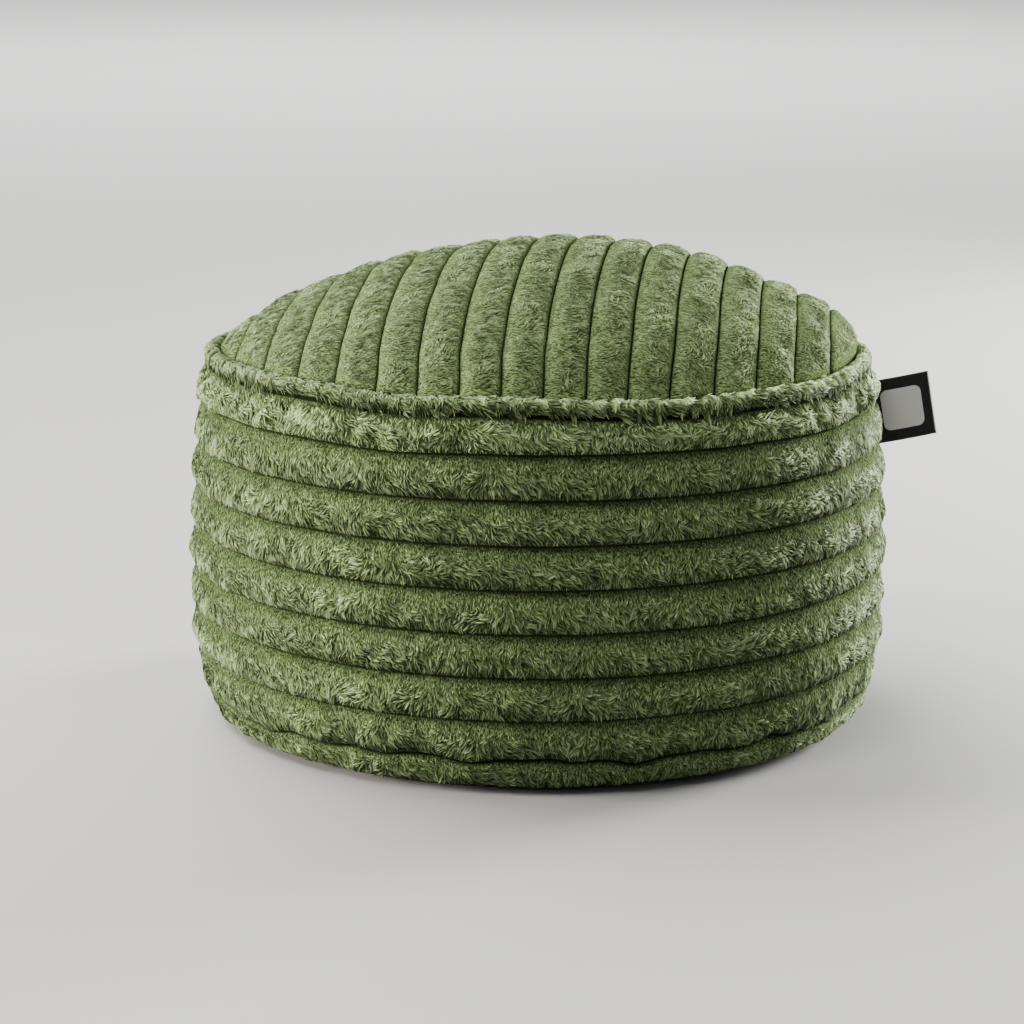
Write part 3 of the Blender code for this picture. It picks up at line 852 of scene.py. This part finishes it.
def scatter(countU, countV, seed):
    # one jittered place in each cell of a grid, as two arrays of shares from 0 to 1
    rng = np.random.default_rng(seed)
    u, v = np.meshgrid(np.arange(countU), np.arange(countV), indexing="ij")
    u = (u + rng.uniform(0.0, 1.0, u.shape)) / countU
    v = (v + rng.uniform(0.0, 1.0, v.shape)) / countV
    return u.ravel(), v.ravel()


def addPlush(name, mesh, node, material):
    # a piece of filled plush that replaces its CAD node
    addPiece(name, mesh, material, node)


def addPile(mesh):
    addPiece(mesh.name, mesh, lockMaterial)


def settleCloth(name, points, sewn, spare, closed):
    # points is a grid of places, sewn is 1 where the cloth can't move and spare the share of cloth to
    # spare; it gives back how far each point has moved when the filling has pressed the cloth out
    rows, columns = points.shape[:2]
    faces, corners = gridFaces(np.arange(rows), columns, False, closed)
    mesh = newMesh(name, points.reshape(-1, 3), faces, corners)
    piece = bpy.data.objects.new(name, mesh)
    bpy.context.scene.collection.objects.link(piece)
    least, greatest = float(spare.min()), float(spare.max())
    # 0 where the cloth has most to spare and 1 where it has least
    taut = (greatest - spare) / max(greatest - least, 1e-6)
    for groupName, weights in (("sewn", sewn), ("taut", taut)):
        group = piece.vertex_groups.new(name=groupName)
        weights = np.round(weights, 2).ravel()
        for weight in np.unique(weights):
            group.add(np.flatnonzero(weights == weight).tolist(), float(weight), "REPLACE")
    modifier = piece.modifiers.new("cloth", "CLOTH")
    settings = modifier.settings
    settings.quality = cloth["quality"]
    settings.mass = cloth["mass"]
    settings.tension_stiffness = cloth["tension"]
    settings.compression_stiffness = cloth["tension"]
    settings.shear_stiffness = cloth["shear"]
    settings.bending_stiffness = cloth["bending"]
    settings.use_pressure = True
    settings.uniform_pressure_force = cloth["pressure"]
    settings.effector_weights.gravity = 0.0
    settings.vertex_group_mass = "sewn"
    settings.vertex_group_shrink = "taut"
    settings.shrink_min = -greatest
    settings.shrink_max = -least
    modifier.collision_settings.use_collision = False
    modifier.point_cache.frame_start = 1
    modifier.point_cache.frame_end = cloth["frames"]
    for frameNumber in range(1, cloth["frames"] + 1):
        bpy.context.scene.frame_set(frameNumber)
    pressedOut = piece.evaluated_get(bpy.context.evaluated_depsgraph_get())
    found = np.empty(rows * columns * 3, np.float32)
    pressedOut.data.vertices.foreach_get("co", found)
    bpy.data.objects.remove(piece)
    bpy.data.meshes.remove(mesh)
    bpy.context.scene.frame_set(1)
    return found.reshape(rows, columns, 3) - points


def capMoved(moved):
    # only the puckers are kept, not a row's mean, and no point moves further than "most"
    moved = moved - moved.mean(1, keepdims=True)
    far = np.linalg.norm(moved, axis=-1, keepdims=True)
    return moved * (cloth["most"] * np.tanh(far / cloth["most"]) / np.maximum(far, 1e-9))


def sewnRows(rows):
    # 1 in the rows that lie in a groove
    return (np.arange(rows) % cloth["perRib"] == 0).astype(float)


def settleBand():
    rows = drum["ribs"] * cloth["perRib"] + 1
    place = np.arange(rows) / cloth["perRib"]
    angle = 2.0 * math.pi * np.arange(cloth["round"]) / cloth["round"]
    placeGrid, angleGrid = np.meshgrid(place, angle, indexing="ij")
    sewn = sewnRows(rows)
    # under its fullest point the last rib rests on the floor
    sewn[-3:] = 1.0
    spare = np.where(place < 1.0, cloth["spareFirstRib"], cloth["spare"])
    sewn, spare = (np.broadcast_to(column[:, None], placeGrid.shape) for column in (sewn, spare))
    moved = settleCloth("band_cloth", bandPoint(angleGrid, placeGrid, 0.0), sewn, spare, True)
    cosAngle, sinAngle = np.cos(angleGrid), np.sin(angleGrid)
    outwards = moved[..., 0] * cosAngle + moved[..., 1] * sinAngle
    sideways = moved[..., 1] * cosAngle - moved[..., 0] * sinAngle
    return capMoved(np.stack([outwards, sideways, moved[..., 2]], -1))


def settleTop():
    rows = 2 * cloth["topRibs"] * cloth["perRib"] + 1
    across = grooveAcross(np.arange(rows) / cloth["perRib"] - cloth["topRibs"])
    run = np.linspace(-1.0, 1.0, cloth["topLong"])
    acrossGrid, runGrid = np.meshgrid(across, run, indexing="ij")
    alongGrid = runGrid * np.sqrt(crown["edge"] ** 2 - acrossGrid**2)
    sewn = np.repeat(sewnRows(rows)[:, None], cloth["topLong"], 1)
    sewn[:, [0, -1]] = 1.0
    spare = np.full(acrossGrid.shape, cloth["spare"])
    return capMoved(settleCloth("top_cloth", topPoint(acrossGrid, alongGrid, 0.0), sewn, spare, False))


allMoved = {"band": settleBand(), "top": settleTop()}
for key, moved in allMoved.items():
    far = 1000.0 * np.linalg.norm(moved, axis=-1)
    print(f"{key} cloth settled: puckers of {far.mean():.2f} mm, {far.max():.2f} mm at most")
puckers.update(allMoved)

# Side band
bandGround = {
    "columns": 360,
    # the seam allowance is turned in under the cord, to this radius and height
    "allowance": (0.2322, 0.2590),
    # the first rib's share is raised to this power, so that the painted shade of its seam line is wider
    "seamPower": 1.05,
    "stations": (0.0, 0.02, 0.05, 0.10, 0.18, 0.28, 0.40, 0.52, 0.64, 0.75, 0.85, 0.92, 0.96, 0.985),
}
bandPile = {
    "round": 1000,
    "perRib": 16,
    "ribsPerPiece": 3,
    # the pile is rooted between these shares of a rib, and in the last rib up to the third of them
    "rooted": (0.02, 0.95, 0.75),
    # the first rib's pile is denser at its top, longer there, and darker under the cord by this much, as
    # painted shadow of the cord
    "firstDenser": 1.25,
    "firstLonger": 0.52,
    "firstCordShadow": 0.42,
    "cordShadowFrom": (0.12, 0.01),
    # it is paler too, painted light from above, and swept further round
    "first": {
        "longer": 1.05,
        "uneven": 0.14,
        "tone": 0.44,
        "patches": 0.05,
        "swirl": 0.9,
        "combed": 1.5,
        "gather": 0.35,
        "paler": 0.38,
    },
}
footPile = {
    "round": 1000,
    "rows": 4,
    # its rows' places in the last rib, and the place past which it hangs free; the pile is as it is
    # at this share of a rib
    "from": 0.40,
    "to": 0.60,
    "hangs": 0.62,
    "share": 0.72,
    "habit": {
        **usualHabit,
        "longer": 0.62,
        "uneven": 0.20,
        "tone": 0.19,
        "droop": 8.0,
        "proud": 0.0010,
        "swirl": 0.8,
        "combed": 0.3,
        "gather": 1.0,
        # the foot's pile is painted a little darker, and darker still towards the floor: painted shade
        "paler": -0.04,
        "shade": ((0.0, 0.0), (1.0, -0.10)),
        "openShade": ((0.0, 0.0), (1.0, -0.04)),
    },
}


def bandSurface(along, place, above):
    # metres round the drum from +X, ribs down from the top seam
    share = np.clip(place - np.clip(np.floor(place), 0, drum["ribs"] - 1), 0.0, 1.0)
    return bandPoint(along / drum["radius"], place, nap("sunk", share) - above)


def hanging(point, drop):
    # the same point lower by drop
    return point - np.stack([np.zeros_like(drop), np.zeros_like(drop), drop], -1)


def footSurface(along, place, above):
    # past its fullest point the last rib's pile hangs straight down instead of following the cloth
    hang = drum["ribs"] - 1.0 + footPile["hangs"]
    point = bandSurface(along, np.minimum(place, hang), above)
    return hanging(point, np.clip(place - hang, 0.0, None) * drum["ribPitch"])


def makeBandCloth():
    place = (np.arange(drum["ribs"])[:, None] + np.array(bandGround["stations"])).ravel()
    place = np.append(place, drum["ribs"])
    along = np.linspace(0.0, 2.0 * math.pi * drum["radius"], bandGround["columns"], endpoint=False)
    placeGrid, alongGrid = np.meshgrid(place, along, indexing="ij")
    points = bandSurface(alongGrid, placeGrid, 0.0).reshape(-1, 3)
    shown = np.where(place < 1.0, place ** bandGround["seamPower"], place)
    faces, corners = gridFaces(shown, bandGround["columns"], False, True)
    mesh = newMesh("side_band_plush", points, faces, corners, ((1.0, drum["ribs"]), (0.0, 0.0)))
    rim = drum["radius"] - drum["shoulderDrop"] - drum["grooveDepth"]
    radius, height = bandGround["allowance"]
    closeHoles(mesh, [(radius / rim, height)], 0.1)
    addPlush("side_band_plush", mesh, "side_band", bandGroundMaterial)


def makeBandPile(first):
    # the pile of a few ribs, from the rib "first" on
    ribs = bandPile["ribsPerPiece"]
    u, v = scatter(bandPile["round"], ribs * bandPile["perRib"], 100 + first)
    along = u * 2.0 * math.pi * drum["radius"]
    place = first + thicken(v * ribs)
    place = np.where(place < 1.0, np.clip(place, 0.0, 1.0) ** bandPile["firstDenser"], place)
    share = np.remainder(place, 1.0)
    isLast = place > drum["ribs"] - 1.0
    start, end, lastEnd = bandPile["rooted"]
    kept = (share > start) & (share < np.where(isLast, lastEnd, end))
    along, place, share, isLast = along[kept], place[kept], share[kept], isLast[kept]
    room = np.where(isLast, 1.0, roomBelow(share, drum["ribPitch"]))
    isFirst = place < 1.0
    share = np.where(isFirst, share ** bandPile["firstLonger"], share)
    habit = {key: np.where(isFirst, value, usualHabit[key]) for key, value in bandPile["first"].items()}
    cordShadow = bandPile["firstCordShadow"] * smoothStep(place, *bandPile["cordShadowFrom"])
    habit["paler"] = habit["paler"] - np.where(isFirst, cordShadow, 0.0)
    name = f"side_band_pile_{first + 1}_to_{first + ribs}"
    habit = {**usualHabit, **habit}
    seed = 200 + first * 10
    addPile(lockMesh(name, bandSurface, along, place, share, drum["ribPitch"], seed, room, habit))


def makeFootPile():
    u, v = scatter(footPile["round"], footPile["rows"], 150)
    along = u * 2.0 * math.pi * drum["radius"]
    place = drum["ribs"] - 1.0 + footPile["from"] + v * (footPile["to"] - footPile["from"])
    share = np.full(len(u), footPile["share"])
    pitch = drum["ribPitch"]
    addPile(
        lockMesh("side_band_foot_pile", footSurface, along, place, share, pitch, 290, 1.0, footPile["habit"])
    )


makeBandCloth()
for firstOfPiece in range(0, drum["ribs"], bandPile["ribsPerPiece"]):
    makeBandPile(firstOfPiece)
makeFootPile()
print("side band made")

# Top panel
topGround = {
    "stations": (0.0, 0.03, 0.08, 0.18, 0.32, 0.50, 0.68, 0.82, 0.92, 0.97),
    "ends": (1.0 - 1e-5, 0.9985, 0.993),
    "insideEnds": 0.004,
    "rows": 90,
}
topPile = {
    "spacing": 0.00166,
    "rooted": (0.03, 0.96),
    "insideEdge": 0.002,
    "habit": {
        **usualHabit,
        "longer": 0.68,
        "uneven": 0.08,
        "tone": 0.20,
        "patches": 0.02,
        "proud": 0.0,
        "swirl": 1.2,
        "combed": 0.6,
        "gather": 0.3,
        # the top's pile is painted paler: painted light on the upward-facing top
        "paler": 0.115,
        "slim": 0.88,
        "shade": topShade,
        "openShade": openTopShade,
    },
}


def topSurface(along, place, above):
    # metres along the ribs, and ribs across them from the groove nearest the middle
    across = grooveAcross(place)
    depth = nap("sunk", np.remainder(place, 1.0)) * topPile["habit"]["longer"] - above
    return topPoint(across, along, depth)


def makeTopCloth():
    reach = int(crown["edge"] / crown["ribPitch"]) + 1
    across = (np.arange(-reach, reach)[:, None] + np.array(topGround["stations"])).ravel()
    across = grooveAcross(across)
    inside = np.abs(across) < crown["edge"] - topGround["insideEnds"]
    ends = crown["edge"] * np.array(topGround["ends"])
    across = np.concatenate([-ends, across[inside], ends[::-1]])
    rows = np.sin(np.linspace(-0.5, 0.5, topGround["rows"] + 1) * math.pi)
    acrossGrid, rowGrid = np.meshgrid(across, rows, indexing="ij")
    alongGrid = rowGrid * np.sqrt(np.clip(crown["edge"] ** 2 - acrossGrid**2, 0.0, None))
    placeGrid = placeAcross(acrossGrid)
    points = topSurface(alongGrid, placeGrid, 0.0).reshape(-1, 3)
    faces, corners = gridFaces(placeGrid[:, 0], len(rows), False, False)
    pile = ((1.0, placeGrid[-1, 0] - placeGrid[0, 0]), (0.0, placeGrid[0, 0]))
    mesh = newMesh("top_panel_plush", points, faces, corners, pile)
    closeHoles(mesh, [(1.0, crown["under"])])
    addPlush("top_panel_plush", mesh, "top_panel", topGroundMaterial)


def makeTopPile():
    cells = int(2.0 * crown["edge"] / topPile["spacing"])
    u, v = scatter(cells, cells, 300)
    across = (2.0 * u - 1.0) * crown["edge"]
    along = (2.0 * v - 1.0) * crown["edge"]
    place = placeAcross(across)
    share = np.remainder(place, 1.0)
    start, end = topPile["rooted"]
    kept = np.hypot(across, along) < crown["edge"] - topPile["insideEdge"]
    kept = kept & (share > start) & (share < end)
    along, place, share = along[kept], place[kept], share[kept]
    pitch = crown["ribPitch"]
    for half, seed, chosen in (("left", 324, place < 0.0), ("right", 325, place >= 0.0)):
        name = "top_panel_pile_" + half
        where = along[chosen], place[chosen], share[chosen]
        room = roomBelow(share[chosen], pitch)
        addPile(lockMesh(name, topSurface, *where, pitch, seed, room, topPile["habit"]))


makeTopCloth()
makeTopPile()
print("top panel made")

# Piping
pipingPile = {
    "round": 1250,
    "rows": 15,
    "sunk": 0.0026,
    # the rows start so many degrees round the cord and run on for so many of its radii, past "hangs"
    # hanging free; the pile is as it is at this share of a rib
    "start": 165.0,
    "turns": 3.3,
    "hangs": 3.35,
    "share": 0.68,
    "habit": {
        **usualHabit,
        "longer": 1.02,
        "uneven": 0.22,
        "tone": 0.42,
        "proud": 0.0018,
        "swirl": 0.45,
        "combed": 0.0,
        "sweep": 38.0,
        "gather": 0.12,
        "slim": 0.85,
        "shade": cordShade,
        "openShade": openCordShade,
    },
}


def pipingSurface(along, place, above):
    # metres round the seam, and place in radii of the cord, over its top and down its outside; past
    # "hangs" the pile hangs straight down over the gap under the cord
    turn = math.radians(pipingPile["start"]) - np.minimum(place, pipingPile["hangs"])
    point = pipingPoint(along / piping["ring"], turn, pipingPile["sunk"] - above)
    return hanging(point, np.clip(place - pipingPile["hangs"], 0.0, None) * piping["radius"])


def makePiping():
    angle = np.linspace(0.0, 2.0 * math.pi, piping["steps"], endpoint=False)
    turn = -np.linspace(0.0, 2.0 * math.pi, piping["sides"] + 1)
    turnGrid, angleGrid = np.meshgrid(turn[:-1], angle, indexing="ij")
    points = pipingPoint(angleGrid, turnGrid, pipingPile["sunk"]).reshape(-1, 3)
    faces, corners = gridFaces(turn, piping["steps"], True, True)
    mesh = newMesh("top_piping_plush", points, faces, corners, ((1.0, 0.2), (0.0, 0.4)))
    addPlush("top_piping_plush", mesh, "top_piping", bandGroundMaterial)
    u, v = scatter(pipingPile["round"], pipingPile["rows"], 400)
    along = u * 2.0 * math.pi * piping["ring"]
    place = v * pipingPile["turns"]
    share = np.full(len(u), pipingPile["share"])
    pitch = piping["radius"]
    habit = pipingPile["habit"]
    addPile(lockMesh("top_piping_pile", pipingSurface, along, place, share, pitch, 420, 1.0, habit))


makePiping()
print("piping made")

# Base panel: black canvas in a plain weave, its edge folded in under the band
basePanel = {
    "radius": 0.2225,
    "thickness": 0.0030,
    "round": 192,
    # the disc's outline as shares of its radius and thickness, from its upper side to its lower
    "profile": (
        (0.90, 1.0),
        (0.985, 1.0),
        (0.997, 0.80),
        (1.0, 0.5),
        (0.997, 0.20),
        (0.985, 0.0),
        (0.90, 0.0),
    ),
    "yarn": 0.0011,
    "light": "#3b3a38",
    "dark": "#121211",
    "bump": 0.0004,
    "roughness": 0.9,
}


def canvasMaterial():
    # over-and-under yarns: sin(x) * sin(y) on a grid of the yarn's own width, as colour and as bump
    material, tree, shader = newMaterial("base_canvas", basePanel)
    place = addNode(tree, "TexCoord")
    perYarn = (math.pi / basePanel["yarn"],) * 3
    cells = addNode(tree, "VectorMath", [(0, place.outputs["Object"]), (1, perYarn)], operation="MULTIPLY")
    parts = addNode(tree, "SeparateXYZ", [(0, cells)])
    waveX = addNode(tree, "Math", [(0, parts.outputs["X"])], operation="SINE")
    waveY = addNode(tree, "Math", [(0, parts.outputs["Y"])], operation="SINE")
    both = addNode(tree, "Math", [(0, waveX), (1, waveY)], operation="MULTIPLY")
    level = addNode(tree, "MapRange", [(0, both), (1, -1.0), (2, 1.0)])
    ramp = addNode(tree, "ValToRGB", [(0, level)])
    fillRamp(ramp.color_ramp, ((0.0, basePanel["dark"]), (1.0, basePanel["light"])))
    addBump(tree, shader, level, basePanel["bump"])
    tree.links.new(ramp.outputs[0], shader.inputs["Base Color"])
    return material


def makeBase():
    profile = np.array(basePanel["profile"])
    angle = np.linspace(0.0, 2.0 * math.pi, basePanel["round"], endpoint=False)
    radius = profile[:, 0][:, None] * basePanel["radius"]
    height = profile[:, 1][:, None] * basePanel["thickness"]
    points = roundAxis(radius, angle, height).reshape(-1, 3)
    faces, corners = gridFaces(np.arange(len(profile)), basePanel["round"], False, True)
    mesh = newMesh("base_panel_canvas", points, faces, corners)
    closeHoles(mesh)
    piece = addPiece("base_panel_canvas", mesh, canvasMaterial(), "base_panel")


makeBase()
print("base panel made")

# Label: black woven tape folded double, with a plain pale panel woven in
label = {
    "turn": math.radians(4.0),
    "height": 0.0470,
    "reach": 0.0471,
    "root": 0.0080,
    "thickness": 0.0013,
    "centre": 0.2094,
    "seat": 0.0052,
    "tilt": math.radians(9.8),
    "bow": 0.0015,
    "edgeRound": 0.0008,
    "rib": 0.0006,
    "ribHeight": 0.00008,
    "tape": "#0f0f10",
    "roughness": 0.75,
    "panel": "#b3b2ae",
    "panelMiddle": (0.0245, 0.0),
    "panelHalf": (0.0150, 0.0150),
    "panelRound": 0.0050,
    "panelBlur": 0.00015,
}


def makeLabel():
    out = np.linspace(-label["root"], label["reach"], 40)
    rise = np.linspace(-0.5, 0.5, 32) * label["height"]
    outGrid, riseGrid = np.meshgrid(out, rise, indexing="ij")
    # both faces of the tape meet in a rounded edge: half thickness * sqrt(inset / edgeRound) near it
    inset = np.minimum(label["reach"] - outGrid, label["height"] / 2.0 - np.abs(riseGrid))
    half = 0.5 * label["thickness"] * np.clip(inset / label["edgeRound"], 0.0, 1.0) ** 0.5
    bow = -label["bow"] * np.sin(math.pi * np.clip(outGrid, 0.0, None) / label["reach"])
    front = np.stack([outGrid, bow - half, riseGrid], -1).reshape(-1, 3)
    back = np.stack([outGrid, bow + half, riseGrid], -1).reshape(-1, 3)
    points = np.concatenate([front, back])
    rows, columns = outGrid.shape
    faces, corners = gridFaces(out, columns, False, False)
    faces = np.concatenate([faces[:, ::-1], faces + rows * columns])
    corners = np.concatenate([corners[:, ::-1], corners])
    swapped = corners[..., ::-1]
    pile = ((label["reach"] + label["root"], label["height"]), (-label["root"], -0.5 * label["height"]))
    mesh = newMesh("label_tape", points, faces, swapped, pile)
    closeHoles(mesh, joined=1e-6)
    away = float(drumRadius(np.array(label["centre"]))) - label["seat"]
    turned = Matrix.Rotation(label["turn"], 4, "Z")
    mesh.transform(
        turned @ Matrix.Translation((away, 0.0, label["centre"])) @ Matrix.Rotation(-label["tilt"], 4, "Y")
    )
    piece = addPiece("label_tape", mesh, labelMaterial(), "label")


def labelMaterial():
    material, tree, shader = newMaterial("label_tape", label)
    pile = addNode(tree, "UVMap", uv_map="pile")
    # the rounded panel: |p - middle| - half + round, its length outside the corner - round, under 0
    middle = (label["panelMiddle"][0], label["panelMiddle"][1], 0.0)
    half = [size - label["panelRound"] for size in label["panelHalf"]] + [1.0]
    moved = addNode(tree, "VectorMath", [(0, pile), (1, middle)], operation="SUBTRACT")
    folded = addNode(tree, "VectorMath", [(0, moved)], operation="ABSOLUTE")
    past = addNode(tree, "VectorMath", [(0, folded), (1, half)], operation="SUBTRACT")
    zero = (0.0, 0.0, 0.0)
    outside = addNode(tree, "VectorMath", [(0, past), (1, zero)], operation="MAXIMUM")
    distance = addNode(tree, "VectorMath", [(0, outside)], operation="LENGTH")
    start, end = (label["panelRound"] + side * label["panelBlur"] for side in (-1.0, 1.0))
    inside = addNode(
        tree, "MapRange", [(0, distance.outputs["Value"]), (1, start), (2, end), (3, 1.0), (4, 0.0)]
    )
    # fine ribs of the weave: sin(2 pi y / rib)
    parts = addNode(tree, "SeparateXYZ", [(0, pile)])
    perRib = 2.0 * math.pi / label["rib"]
    turns = addNode(tree, "Math", [(0, parts.outputs["Y"]), (1, perRib)], operation="MULTIPLY")
    ribs = addNode(tree, "Math", [(0, turns)], operation="SINE")
    addBump(tree, shader, ribs, label["ribHeight"], 0.6)
    tape, panel = toLinear(label["tape"]), toLinear(label["panel"])
    colour = addNode(tree, "MixRGB", [(0, inside), (1, tape), (2, panel)])
    tree.links.new(colour.outputs[0], shader.inputs["Base Color"])
    return material


makeLabel()
print("label made")

# Floor, lights and camera
studio = {
    "colour": "#abaaa8",
    "roughness": 0.8,
    "world": "#e9edf2",
    "worldStrength": 0.31,
    # round lights: name, place, what it points at, size in metres, watts and colour
    "lights": (
        ("window", (-2.5, -0.15, 0.46), (0.0, 0.0, 0.17), 0.8, 153.0, "#fff9f0"),
        ("sunlit_floor", (-0.64, -0.10, 0.03), (-0.27, -0.04, 0.30), 0.36, 3.2, "#fff4e6"),
        ("side", (2.2, 1.55, 0.55), (0.0, 0.0, 0.2), 1.0, 315.0, "#fffefa"),
        ("overhead", (-0.70, -1.05, 2.2), (0.0, -0.1, 0.2), 1.0, 30.0, "#fffdf8"),
        ("far_floor", (0.0, 8.0, 5.0), (0.0, 9.5, 0.0), 7.0, 960.0, "#ffffff"),
    ),
    "sky": 6.6,
    "skyWidth": 60.0,
    "skyTurn": (-34.0, -35.0, 0.0),
    "cameraPlace": (-0.0188, -1.995, 0.5762),
    "cameraTilt": 12.35,
    "focalPixels": 2800.0,
    "frameWidth": 1024.0,
    "sensor": 36.0,
}


def addToScene(name, data, turn):
    item = bpy.data.objects.new(name, data)
    bpy.context.scene.collection.objects.link(item)
    item.rotation_euler = turn
    return item


def addLight(name, place, target, size, watts, colour):
    light = bpy.data.lights.new(name, "AREA")
    light.shape = "DISK"
    light.size = size
    light.energy = watts
    light.color = toLinear(colour)[:3]
    x, y, z = np.array(target) - np.array(place)
    turn = (math.atan2(math.hypot(x, y), -z), 0.0, math.atan2(y, x) - math.pi / 2.0)
    addToScene(name, light, turn).location = place


def makeStudio():
    bpy.ops.mesh.primitive_plane_add(size=60.0)
    floor = bpy.context.active_object
    floor.name = "studio_floor"
    floor.data.materials.append(newMaterial("studio_floor", studio)[0])
    world = bpy.data.worlds.new("studio")
    world.use_nodes = True
    background = world.node_tree.nodes["Background"]
    background.inputs["Color"].default_value = toLinear(studio["world"])
    background.inputs["Strength"].default_value = studio["worldStrength"]
    bpy.context.scene.world = world
    for light in studio["lights"]:
        addLight(*light)
    sky = bpy.data.lights.new("sky", "SUN")
    sky.energy = studio["sky"]
    sky.angle = math.radians(studio["skyWidth"])
    addToScene("sky", sky, [math.radians(turn) for turn in studio["skyTurn"]])
    camera = bpy.data.cameras.new("camera")
    camera.sensor_width = studio["sensor"]
    camera.lens = studio["sensor"] * studio["focalPixels"] / studio["frameWidth"]
    eye = addToScene("camera", camera, (math.radians(90.0 - studio["cameraTilt"]), 0.0, 0.0))
    eye.location = studio["cameraPlace"]
    bpy.context.scene.camera = eye


makeStudio()
print("studio set")
